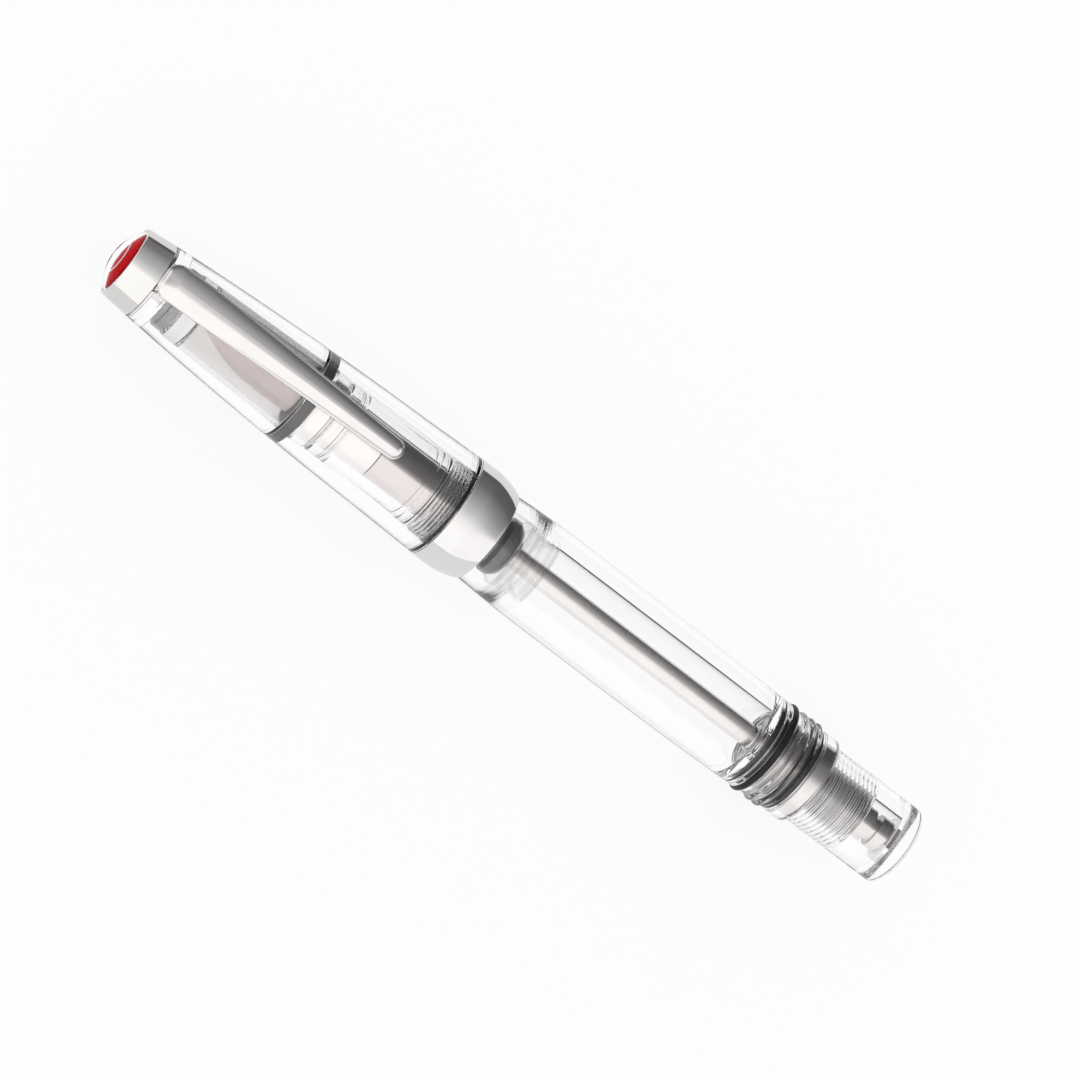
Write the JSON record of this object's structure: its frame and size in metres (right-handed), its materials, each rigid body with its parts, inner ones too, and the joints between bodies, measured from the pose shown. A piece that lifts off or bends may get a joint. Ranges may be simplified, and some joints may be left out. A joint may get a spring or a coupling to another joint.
{
  "type": "fountain pen",
  "caption": "Capped clear vacuum-filling fountain pen with metal clip, cap band and red domed finial; the cap pulls off, the clip flexes and the knob draws a plunger rod.",
  "frame": {"origin": "on the pen's axis, at the middle of the barrel's straight grip", "axes": "+X along the pen towards the filler knob, +Z towards the clip, +Y to the side"},
  "size_m": [0.1281, 0.0148, 0.0161],
  "materials": {
    "clear_plastic": "polished transparent plastic",
    "polished_steel": "polished plate",
    "satin_steel": "satin",
    "satin_aluminium": "satin",
    "nib_steel": "fine satin",
    "red_enamel": "gloss enamel",
    "black_plastic": "matte",
    "black_rubber": "soft satin"
  },
  "bodies": {
    "barrel": {"barrel": "clear_plastic", "section": "clear_plastic", "section_sleeve": "satin_aluminium", "section_o_ring": "black_rubber", "nib_collar": "satin_aluminium", "nib": "nib_steel", "feed": "black_plastic", "posting_o_ring": "black_rubber", "gland_housing": "satin_aluminium", "gland_seal": "black_rubber", "gland_o_ring": "black_rubber", "gland_gasket": "black_rubber"},
    "cap_liner": {"inner_cap": "clear_plastic", "inner_cap_seal": "black_rubber"},
    "cap": {"cap_body": "clear_plastic", "cap_band": "polished_steel", "cap_top_ring": "polished_steel", "finial_disc": "red_enamel", "finial_dome": "clear_plastic", "finial_screw": "satin_steel", "finial_nut": "satin_aluminium", "clip_ring": "satin_steel"},
    "clip": {"clip": "satin_steel"},
    "plunger_seal": {"plunger_seal": "black_rubber"},
    "plunger": {"plunger_rod": "satin_steel", "seal_retainer": "polished_steel", "seal_screw": "satin_steel", "knob": "clear_plastic", "knob_core": "satin_steel"}
  },
  "joints": [
    {"name": "cap_pull", "type": "slide", "parent": "barrel", "child": "cap_liner", "axis": [-1, 0, 0], "range_m": [0, 0.066]},
    {"name": "cap_turn", "type": "hinge", "parent": "cap_liner", "child": "cap", "pos_m": [-0.05, 0, 0], "axis": [1, 0, 0], "range_deg": [0, 720]},
    {"name": "clip_flex", "type": "hinge", "parent": "cap", "child": "clip", "pos_m": [-0.0732, 0, 0.00475], "axis": [0, -1, 0], "range_deg": [0, 4.5], "stiffness_Nm_per_rad": 0.5},
    {"name": "plunger_pull", "type": "slide", "parent": "barrel", "child": "plunger_seal", "axis": [1, 0, 0], "range_m": [0, 0.036]},
    {"name": "knob_turn", "type": "hinge", "parent": "plunger_seal", "child": "plunger", "pos_m": [0.04, 0, 0], "axis": [-1, 0, 0], "range_deg": [0, 1440]}
  ]
}
